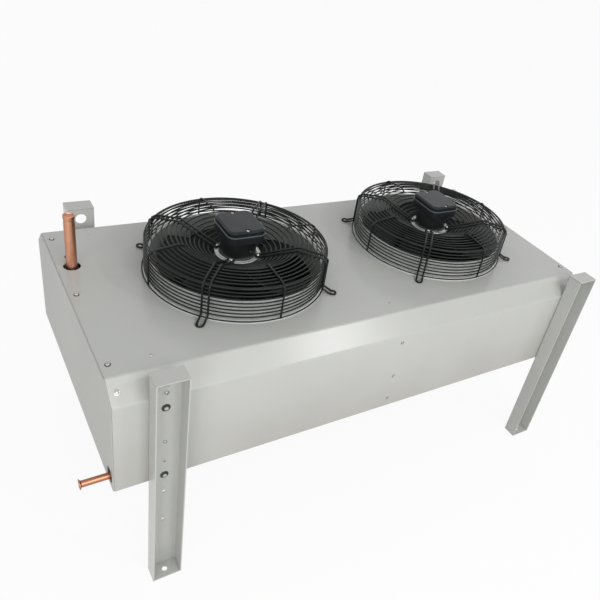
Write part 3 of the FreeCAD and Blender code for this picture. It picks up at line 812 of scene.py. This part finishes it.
def spoke_level(radius):
    """Height of a spoke's middle above the casing, at a radius."""
    bends = [(flange_radius, spoke_start), (ridge_radius, ridge_height), (shoulder, guard_height)]
    for (r0, z0), (r1, z1) in zip(bends, bends[1:]):
        if r0 <= radius <= r1:
            return z0 + (z1 - z0) * (radius - r0) / (r1 - r0)
    return guard_height - (radius - shoulder) * shoulder_slope


def guard_ring(radius, level, wire=ring_wire, steps=96):
    """A ring about the first fan's axis, at a height above the casing."""
    return round_ring(radius, wire, fan_centres[0] + Vector((0, 0, level)), "z", steps)


def wire_along(points, angle, bend, wire):
    """Bent wire through (radius, sideways, height) points, turned to an angle about the fan's axis."""
    turn = (math.cos(angle), math.sin(angle))
    line = []
    for r, t, z in points:
        line.append(fan_centres[0] + Vector((r * turn[0] - t * turn[1], r * turn[1] + t * turn[0], z)))
    return bent_bar(line, bend, wire, sides=2)


def half_loop(middle, reach, level):
    """The bow that joins two side wires; it reaches outwards, or inwards if reach is negative."""
    width = math.copysign(loop_radius, reach)
    angles = [math.radians(degrees) for degrees in (60, 30, 0, -30, -60)]
    return [(middle + reach * math.cos(a), width * math.sin(a), level) for a in angles]


wires = [guard_ring(foot_ring_radius, foot_ring_level)]
for i in range(side_ring_count):
    wires.append(guard_ring(guard_radius, side_ring_low + i * side_ring_pitch))
for i in range(top_ring_count):
    radius = top_ring_first + i * (top_ring_last - top_ring_first) / (top_ring_count - 1)
    wires.append(guard_ring(radius, spoke_level(radius) - spoke_wire - ring_wire))
dish = [(ridge_radius, ridge_height), (shoulder, guard_height), (side, side_top)]
run = [(inner_loop, spoke_start), (flange_radius, spoke_start)] + dish
run += [(side, side_foot), (side + foot_reach, spoke_wire), (eye_place, spoke_wire)]
for angle in spoke_angles:
    there = [(r, loop_radius, z) for r, z in run]
    back = [(r, -loop_radius, z) for r, z in reversed(run)]
    eye = half_loop(eye_place, loop_radius, spoke_wire)
    wires.append(wire_along(there + eye + back, angle, spoke_bend, spoke_wire))
    loop = back[-1:] + half_loop(inner_loop, -loop_radius / 2, spoke_start) + there[:1]
    wires.append(wire_along(loop, angle, loop_bend, spoke_wire))
for angle in short_spoke_angles:
    single = [(short_spoke_start, 0.0, spoke_level(short_spoke_start))]
    single += [(r, 0.0, z) for r, z in dish] + [(side, 0.0, short_spoke_foot)]
    wires.append(wire_along(single, angle, short_spoke_bend, short_spoke_wire))
guard_nodes = ["guard_basket", "guard_grille"]
dress_both(join(wires), "guard_wires", guard_paint, guard_nodes, sharp=80.0)


# Motor flange. Aluminium casting that carries the fan from the guard: a ring with a raised rim and a bearing
# tube below, held by one bolt in each doubled spoke.
flange_metal = finish("cast_aluminium", light=(0.62, 0.62, 0.60), dark=(0.42, 0.42, 0.41), gloss=(0.30, 0.45),
                      patches=40.0, relief=0.00004, grains=500.0, metallic=0.9)
tube_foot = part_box("fan_1_motor_flange")[0].z - cowl_high.z
tube_radius = 0.017
tube_fillet = 0.004
bearing_seat = 0.01306
under = flange_top - 0.004
flange_edge = 0.0006
under_edge = 0.001
ridges = ((flange_radius - 0.0018, 0.0014), (0.0525, 0.0016))
profile = [
    (bearing_seat, tube_foot), (tube_radius, tube_foot), (tube_radius, under - tube_fillet),
    (tube_radius + tube_fillet, under), (flange_radius - under_edge, under),
    (flange_radius, under + under_edge), (flange_radius, flange_top - flange_edge),
    (flange_radius - flange_edge, flange_top), (bearing_seat, flange_top), (bearing_seat, tube_foot),
]
parts = [lathe(profile, fan_centres[0], "z", 72)]
parts += [guard_ring(radius, flange_top, width, 72) for radius, width in ridges]
dress_both(join(parts), "motor_flange_casting", flange_metal, ["motor_flange"])


# Motor cap. Deep-drawn black cover over the motor's terminals, standing on the flange, with a rounded upper
# edge, a rolled foot and one small plug in its side.
motor_paint = finish("motor_coat", light=(0.014, 0.016, 0.016), dark=(0.008, 0.009, 0.009),
                     gloss=(0.28, 0.40), patches=18.0, grains=600.0, dust=0.12)
cap_low, cap_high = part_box("fan_1_motor_cap")
cap_radius = (cap_high.x - cap_low.x) / 2
cap_wall = cap_radius - 0.0015
cap_height = cap_high.z - cap_low.z
cap_foot = cap_low.z - cowl_high.z
cap_top = cap_foot + cap_height
plug_radius = 0.0035
plug_angle = math.radians(-72)
plug_level = cap_foot + cap_height * 0.42
cap = lathe([
    (0.0, cap_foot), (cap_radius, cap_foot), (cap_radius, cap_foot + 0.003), (cap_wall, cap_foot + 0.0045),
    (cap_wall, cap_top - 0.006), (cap_radius - 0.0035, cap_top - 0.0018), (cap_radius - 0.007, cap_top),
    (0.0, cap_top),
], fan_centres[0], "z", 64)
plug_place = Vector((cap_wall * math.cos(plug_angle), cap_wall * math.sin(plug_angle), plug_level))
plug = add_primitive(bpy.ops.mesh.primitive_uv_sphere_add, segments=16, ring_count=8, radius=plug_radius,
                     location=fan_centres[0] + plug_place)
dress_both(join([cap, plug]), "motor_cap_shell", motor_paint, ["motor_cap"])


# Terminal box and lid. Black moulded plastic on the motor cap: rounded corners, a lid with a bevelled upper
# edge, a rim round its foot painted greyer as a highlight and two sunk screw holes, and a seam between box
# and lid.
box_plastic = finish("box_plastic", light=(0.014, 0.016, 0.018), dark=(0.009, 0.010, 0.012),
                     gloss=(0.28, 0.38), patches=14.0, relief=0.00003, grains=1100.0, dust=0.05,
                     reflectance=0.3)
lid_plastic = finish("lid_plastic", light=(0.015, 0.019, 0.022), dark=(0.010, 0.013, 0.015),
                     gloss=(0.14, 0.22), patches=14.0, relief=0.00001, grains=1100.0, dust=0.03,
                     reflectance=0.22)
# Painted highlight: the lid's foot rim is made lighter grey to stand for the light that its rounded edge
# catches.
rim_highlight_plastic = finish("lid_rim_painted_highlight", light=(0.090, 0.100, 0.105), dark=(0.060, 0.068, 0.072),
                     gloss=(0.12, 0.2), patches=14.0, relief=0.00001, grains=1100.0, dust=0.03)
box_low, box_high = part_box("fan_1_terminal_box")
lid_low, lid_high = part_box("fan_1_terminal_lid")
box_corner = 0.020
box_edge = 0.001
seam = 0.0008
lid_step = 0.002
lid_bevel = 0.005
lid_rise = 0.004
lid_flange = 0.0035
lid_edge = 0.0009
lid_rim_edge = 0.0012
lid_screw_inset = 0.0115
lid_hole_radius = 0.0066
lid_hole_depth = 0.0036


def rounded_block(low, high, corner):
    """A box whose upright edges are rounded."""
    piece = block(low, high)
    edit(piece)
    middle = (Vector(low) + Vector(high)) / 2
    select("edges", lambda p: abs(p.z - middle.z) < near)
    bpy.ops.mesh.bevel(offset=corner, segments=6, affect="EDGES")
    leave()
    return piece


box = rounded_block(box_low, box_high - Vector((0, 0, seam)), box_corner)
dress_both(round_edges(box, box_edge), "terminal_box_shell", box_plastic, ["terminal_box"])
rim = rounded_block(lid_low, Vector((lid_high.x, lid_high.y, lid_low.z + lid_flange)), box_corner + lid_step)
round_edges(rim, lid_rim_edge, steps=3)
crown_low = lid_low + Vector((lid_step, lid_step, lid_flange))
crown = rounded_block(crown_low, lid_high - Vector((lid_step, lid_step, lid_rise)), box_corner)
edit(crown)
select("faces", lambda p: p.z > lid_high.z - lid_rise - near)
bpy.ops.mesh.inset(thickness=lid_bevel, depth=0.0)
bpy.ops.transform.translate(value=(0, 0, lid_rise))
leave()
round_edges(crown, lid_edge, steps=3, over=25.0)
lid_screw_rows = (lid_low.y + lid_screw_inset, lid_high.y - lid_screw_inset)
lid_screws = [Vector((fan_centres[0].x, y, lid_high.z)) for y in lid_screw_rows]
drill(crown, [(lid_hole_radius, place) for place in lid_screws], "z", depth=2 * lid_hole_depth)
dress_both(crown, "terminal_lid_shell", lid_plastic, ["terminal_lid"])
dress_both(rim, "terminal_lid_rim", rim_highlight_plastic)


# Cable glands. Black plastic glands on the back of the terminal boxes: a hexagon against the wall and a
# round clamping nut with its rubber throat.
gland_low, gland_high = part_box("fan_1_cable_gland")
gland_middle = Vector(((gland_low.x + gland_high.x) / 2, gland_low.y, (gland_low.z + gland_high.z) / 2))
gland_length = gland_high.y - gland_low.y
gland_hexagon = 0.0100
gland_hexagon_length = gland_length * 0.4
gland_edge = 0.0006
gland_nose = (
    (0.0, 0.35), (0.0085, 0.4), (0.0085, 0.72), (0.0068, 0.95), (0.0052, 1.0), (0.0038, 0.98), (0.0034, 0.8),
    (0.0, 0.8),
)


def hexagon(radius, length, middle, edge):
    """A hexagon that points backwards, with its edges rounded."""
    piece = add_primitive(
        bpy.ops.mesh.primitive_cylinder_add, vertices=6, radius=radius, depth=length,
        location=middle, rotation=axis_turn["y"])
    return round_edges(piece, edge, over=30.0)


hexagon_middle = gland_middle + Vector((0, gland_hexagon_length / 2, 0))
gland = hexagon(gland_hexagon, gland_hexagon_length, hexagon_middle, gland_edge)
nose = lathe([(radius, share * gland_length) for radius, share in gland_nose], gland_middle, "y", 24)
dress_both(join([gland, nose]), "cable_gland_body", box_plastic, ["cable_gland"])


# Stator and bearings. Inside the motors: stacked laminations on the bearing tube, and two small ball races
# in it. They keep the shape of the frame.
stator_steel = finish("stator_laminations", light=(0.22, 0.22, 0.23), dark=(0.12, 0.12, 0.13),
                      gloss=(0.4, 0.55), patches=30.0, relief=0.00006, grains=900.0,
                      stretch=(0.05, 0.05, 1.0), metallic=0.7)
race_steel = finish("bearing_race", light=(0.62, 0.62, 0.62), dark=(0.5, 0.5, 0.5), gloss=(0.12, 0.22),
                    patches=30.0, relief=0.00001, grains=900.0, metallic=1.0, dust=0.0)
coat_node("fan_1_stator", stator_steel)
coat_node("fan_2_stator", stator_steel)
coat_node("motor_bearings", race_steel)


# Impellers. The rotor of the motor is a black can, open at the top, with five swept sheet-steel blades
# welded to its wall. It turns on the shaft in the bearing tube.
blade_count = 5
can_radius = 0.070
can_inside = can_radius - 0.004
can_top = 0.050
can_bottom = -0.026
can_floor = can_bottom + 0.005
shaft_radius = 0.006
shaft_top = 0.0562
shaft_collar_radius = 0.0085
shaft_collar_foot = shaft_top - 0.0024
blade_tip = 0.204
blade_root = 0.0688
blade_high = 0.046
blade_rise = (0.058, 0.038)
blade_spread = (58.0, 53.0)
blade_sweep = 16.0
blade_nose = 0.18
blade_sag = 0.009
blade_sheet = 0.002
blade_edge = 0.0006
impeller_paint = finish("impeller_coat", light=(0.010, 0.012, 0.011), dark=(0.006, 0.007, 0.007),
                        gloss=(0.34, 0.48), patches=16.0, relief=0.00003, grains=500.0, dust=0.02,
                        reflectance=0.14)
profile = [
    (0.0, can_bottom), (can_radius - 0.006, can_bottom), (can_radius - 0.0018, can_bottom + 0.0018),
    (can_radius, can_bottom + 0.006), (can_radius, can_top - 0.001), (can_radius - 0.001, can_top),
    (can_inside, can_top), (can_inside, can_floor), (shaft_radius, can_floor),
    (shaft_radius, shaft_collar_foot), (shaft_collar_radius, shaft_collar_foot),
    (shaft_collar_radius, shaft_top), (0.0, shaft_top),
]
rotor = lathe(profile, fan_centres[0], "z", 64)


def between(ends, share):
    """The value at a share of the way from the first end to the second."""
    return ends[0] + (ends[1] - ends[0]) * share


def blade_point(along, across):
    """Point of a blade: along runs from leading to trailing edge, across from root to tip, both 0 to 1."""
    radius = between((blade_root, blade_tip), across)
    nose = blade_nose * (2 * across - 1) ** 2 * (1 - along) ** 3
    angle = math.radians(blade_sweep * across + between(blade_spread, across) * (0.5 - along - nose))
    sag = blade_sag * 4 * along * (1 - along)
    height = blade_high - between(blade_rise, across) * (1 - along) - sag
    return fan_centres[0] + Vector((radius * math.cos(angle), radius * math.sin(angle), height))


bpy.ops.object.select_all(action="DESELECT")
bpy.ops.mesh.primitive_grid_add(x_subdivisions=14, y_subdivisions=8, size=1.0)
blade = bpy.context.object
for vertex in blade.data.vertices:
    vertex.co = blade_point(vertex.co.x + 0.5, vertex.co.y + 0.5)
modify(blade, "SOLIDIFY", thickness=blade_sheet, offset=0.0)
blades = [round_edges(blade, blade_edge)]
for i in range(1, blade_count):
    copy = copy_to(blade, Vector())
    edit(copy, everything=True)
    turn = 2 * math.pi * i / blade_count
    bpy.ops.transform.rotate(value=turn, orient_axis="Z", center_override=fan_centres[0])
    leave()
    blades.append(copy)
impeller = join([rotor] + blades)
dress_both(impeller, "impeller_rotor", impeller_paint, ["impeller"], moving=True)


# Small screws. Zinc-plated pan heads: on black washers across the ends of the cowl's top, their dark ring
# partly painted shade, on zinc ones on its slopes, in the legs' upper row and in the guard eyes, and on thin
# dark discs of painted shade in its front and back.
# Those in the lids are sunk, and those in the motor flanges are larger.
screw_zinc = finish("screw_zinc", light=(0.58, 0.58, 0.56), dark=(0.44, 0.44, 0.42), gloss=(0.30, 0.42),
                    patches=120.0, relief=0.00001, grains=1500.0, metallic=0.9, dust=0.05)
# Partly painted shade: the black of these washers also stands for the shadow round the screw and bolt heads.
washer_black_and_shade = finish("washer_black_and_shade", light=(0.030, 0.030, 0.028), dark=(0.018, 0.018, 0.017),
                      gloss=(0.35, 0.5), patches=80.0, grains=1200.0, dust=0.05)
head_wall = 0.35
recess_length = 1.10
recess_width = 0.22
recess_floor = 0.45
washer_radius = 0.0067
washer_lift = 0.0010
shade_disc_radius = 0.0046
end_inset = 0.017
row_y = (-0.274, 0.0, 0.274)
small_x = (-0.668, -0.011)
small_y = 0.273
front_x = -0.012
front_levels = (0.575, 0.456, 0.371)
slope_tilt = math.atan2(slope_drop, slope_run)
leg_screw_levels = (0.614, 0.463)
motor_bolt_circle = 0.056


def pan_head(radius, height):
    """Pan-head screw at the origin, looking up, with a cross recess."""
    wall = head_wall * height
    dome = [(r, wall + h) for r, h in quarter_arc(radius, height - wall)]
    head = lathe([(0.0, 0.0), (radius, 0.0)] + dome, Vector(), "z", 20)
    corner = Vector((radius * recess_length / 2, radius * recess_width / 2, 0))
    for turn in (0.0, math.pi / 2):
        bar = block(Vector((0, 0, height * recess_floor)) - corner, Vector((0, 0, height * 1.5)) + corner)
        bar.rotation_euler.z = turn
        bpy.ops.object.transform_apply()
        cut_away(head, bar)
    return head


def place_head(head, place, tilt=(0.0, 0.0, 0.0)):
    """A copy of a screw head on a point of a surface, tilted to look away from it."""
    copy = copy_to(head, Vector())
    copy.rotation_euler = tilt
    copy.location = place
    bpy.ops.object.transform_apply()
    return copy


big = pan_head(0.0048, 0.0030)
small = pan_head(0.0034, 0.0022)
motor_bolt = pan_head(0.0058, 0.0080)
washer = lathe([(0.0, 0.0), (washer_radius, 0.0), (washer_radius, 0.0006), (0.0045, 0.0012), (0.0, 0.0012)],
               Vector(), "z", 24)
washered = join([place_head(washer, Vector()), place_head(big, Vector((0, 0, washer_lift)))])
# Painted shade: a thin dark disc under each front and back screw, where its shadow falls.
shade_disc = lathe([(0.0, 0.0), (shade_disc_radius, 0.0), (shade_disc_radius, 0.0004), (0.0, 0.0004)], Vector(), "z", 20)
heads, washers = [], []
for x in (cowl_low.x + end_inset, cowl_high.x - end_inset):
    for y in row_y:
        heads.append(place_head(big, Vector((x, y, cowl_high.z + washer_lift))))
        washers.append(place_head(washer, Vector((x, y, cowl_high.z))))
    for outward in (-1.0, 1.0):
        spot = Vector((x, outward * (cowl_high.y - slope_run / 2), cowl_high.z - slope_drop / 2))
        heads.append(place_head(washered, spot, (-outward * slope_tilt, 0, 0)))
for x in small_x:
    for y in (-small_y, small_y):
        heads.append(place_head(small, Vector((x, y, cowl_high.z))))
for outward in (-1.0, 1.0):
    for level in front_levels:
        spot = Vector((front_x, outward * cowl_high.y, level))
        heads.append(place_head(small, spot, (-outward * math.pi / 2, 0, 0)))
        washers.append(place_head(shade_disc, spot, (-outward * math.pi / 2, 0, 0)))
dress(join(heads), "casing_screws", screw_zinc)
dress(join(washers), "casing_washers_and_shade_discs", washer_black_and_shade)

heads = []
for node in leg_nodes:
    middle_x, web_face, outward = leg_web(node)
    for level, head in zip(leg_screw_levels, (washered, big)):
        heads.append(place_head(head, Vector((middle_x, web_face, level)), (-outward * math.pi / 2, 0, 0)))
dress(join(heads), "leg_screws", screw_zinc)

heads = []
for angle in spoke_angles:
    way = Vector((math.cos(angle), math.sin(angle), 0))
    heads.append(place_head(washered, fan_centres[0] + way * eye_place))
    bolt_place = fan_centres[0] + way * motor_bolt_circle + Vector((0, 0, flange_top))
    heads.append(place_head(motor_bolt, bolt_place))
for place in lid_screws:
    heads.append(place_head(big, place - Vector((0, 0, lid_hole_depth))))
dress_both(join(heads), "screws", screw_zinc)
for part in (big, small, motor_bolt, washer, washered, shade_disc):
    bpy.data.objects.remove(part)


# Leg bolts. Hexagon bolts on dark washers, whose dark ring is partly painted shade, that hold each leg to the
# casing; their shanks and nuts are inside the sheets.
bolt_levels = (0.352, 0.570)
# Partly painted shade: the dark washers' ring also stands for the shadow round the bolt heads.
bolt_washer = 0.0100
bolt_washer_rim = 0.0012
bolt_washer_crown = 0.0018
bolt_head = 0.0054
bolt_head_height = 0.0030
bolt_edge = 0.0007
bolts, washers = [], []
for node in leg_nodes:
    middle_x, web_face, outward = leg_web(node)
    rim, crown = outward * bolt_washer_rim, outward * bolt_washer_crown
    profile = [(0.0, 0.0), (bolt_washer, 0.0), (bolt_washer, rim), (0.0075, crown), (0.0, crown)]
    head_middle = outward * (bolt_washer_rim + bolt_head_height / 2)
    for level in bolt_levels:
        spot = Vector((middle_x, web_face, level))
        washers.append(lathe(profile, spot, "y", 32))
        bolts.append(hexagon(bolt_head, bolt_head_height, spot + Vector((0, head_middle, 0)), bolt_edge))
dress(join(washers), "leg_bolt_washers", washer_black_and_shade)
dress(join(bolts), "leg_bolt_heads", screw_zinc, nodes=["leg_bolts"])


# Floor, light and camera. A white studio floor, a pale world, a small key lamp in front on the right, two
# large soft lamps in front and on the left, and the camera where the photograph was taken from.
floor_size = 60.0
floor_white = (0.86, 0.86, 0.86, 1.0)
floor_roughness = 0.9
floor_glow = 0.92
sky_colour = (0.97, 0.98, 1.0, 1.0)
sky_strength = 0.56
pure_white = (1.0, 1.0, 1.0, 1.0)
lamps = (
    ("lamp_key", (1.40, -2.2, 2.9), (-0.08, -0.34, 0.62), 0.26, 12.5),
    ("lamp_front", (-0.2, -3.8, 3.0), (0.0, 0.0, 0.5), 2.6, 74.0),
    ("lamp_left", (-3.6, -3.2, 1.8), (0.0, 0.0, 0.5), 2.0, 52.0),
)
camera_place = (-1.0225, -1.3674, 1.6076)
camera_degrees = (56.43, -10.50, -32.48)


def white_rays(tree):
    """The rays for which the background is plain white: the camera's, reflected and transmitted ones."""
    path = add_node(tree, "ShaderNodeLightPath")
    rays = path.outputs["Is Camera Ray"]
    for label in ("Is Glossy Ray", "Is Transmission Ray"):
        either = add_node(tree, "ShaderNodeMath", {0: rays, 1: path.outputs[label]}, operation="MAXIMUM")
        rays = either.outputs["Value"]
    return rays


def make_floor_material():
    """White floor that keeps the shadow and runs into the white background, reflected or seen."""
    material = bpy.data.materials.new("studio_floor")
    material.use_nodes = True
    tree = material.node_tree
    paint = tree.nodes["Principled BSDF"]
    feed(tree, paint.inputs["Base Color"], floor_white)
    feed(tree, paint.inputs["Roughness"], floor_roughness)
    glow = add_node(tree, "ShaderNodeEmission")
    share = add_node(tree, "ShaderNodeMath", {0: white_rays(tree), 1: floor_glow}, operation="MULTIPLY")
    blend = add_node(tree, "ShaderNodeMixShader", {
        "Fac": share.outputs["Value"], 1: paint.outputs["BSDF"], 2: glow.outputs["Emission"]})
    feed(tree, tree.nodes["Material Output"].inputs["Surface"], blend.outputs["Shader"])
    return material


floor = add_primitive(bpy.ops.mesh.primitive_plane_add, size=floor_size, location=(0, 0, 0))
floor.name = "studio_floor"
floor.data.materials.append(make_floor_material())

world = bpy.data.worlds.new("studio_world")
bpy.context.scene.world = world
world.use_nodes = True
room = world.node_tree
sky = room.nodes["Background"]
feed(room, sky.inputs["Color"], sky_colour)
feed(room, sky.inputs["Strength"], sky_strength)
white = add_node(room, "ShaderNodeBackground", {"Color": pure_white, "Strength": 1.0})
blend = add_node(room, "ShaderNodeMixShader", {
    "Fac": white_rays(room), 1: sky.outputs["Background"], 2: white.outputs["Background"]})
feed(room, room.nodes["World Output"].inputs["Surface"], blend.outputs["Shader"])

for name, place, aim, size, watts in lamps:
    bpy.ops.object.select_all(action="DESELECT")
    bpy.ops.object.light_add(type="AREA", location=place)
    lamp = bpy.context.object
    lamp.name = name
    lamp.data.shape = "SQUARE"
    lamp.data.size = size
    lamp.data.energy = watts
    lamp.rotation_euler = (Vector(aim) - Vector(place)).to_track_quat("-Z", "Y").to_euler()

camera_turn = [math.radians(degrees) for degrees in camera_degrees]
bpy.ops.object.camera_add(location=camera_place, rotation=camera_turn)
camera = bpy.context.object
camera.name = "photo_camera"
camera.data.sensor_width = 36.0
camera.data.lens = 38.515
camera.data.shift_x = -0.0972
camera.data.shift_y = -0.0053
camera.data.clip_end = 100.0
bpy.context.scene.camera = camera
bpy.context.scene.view_settings.view_transform = "Standard"
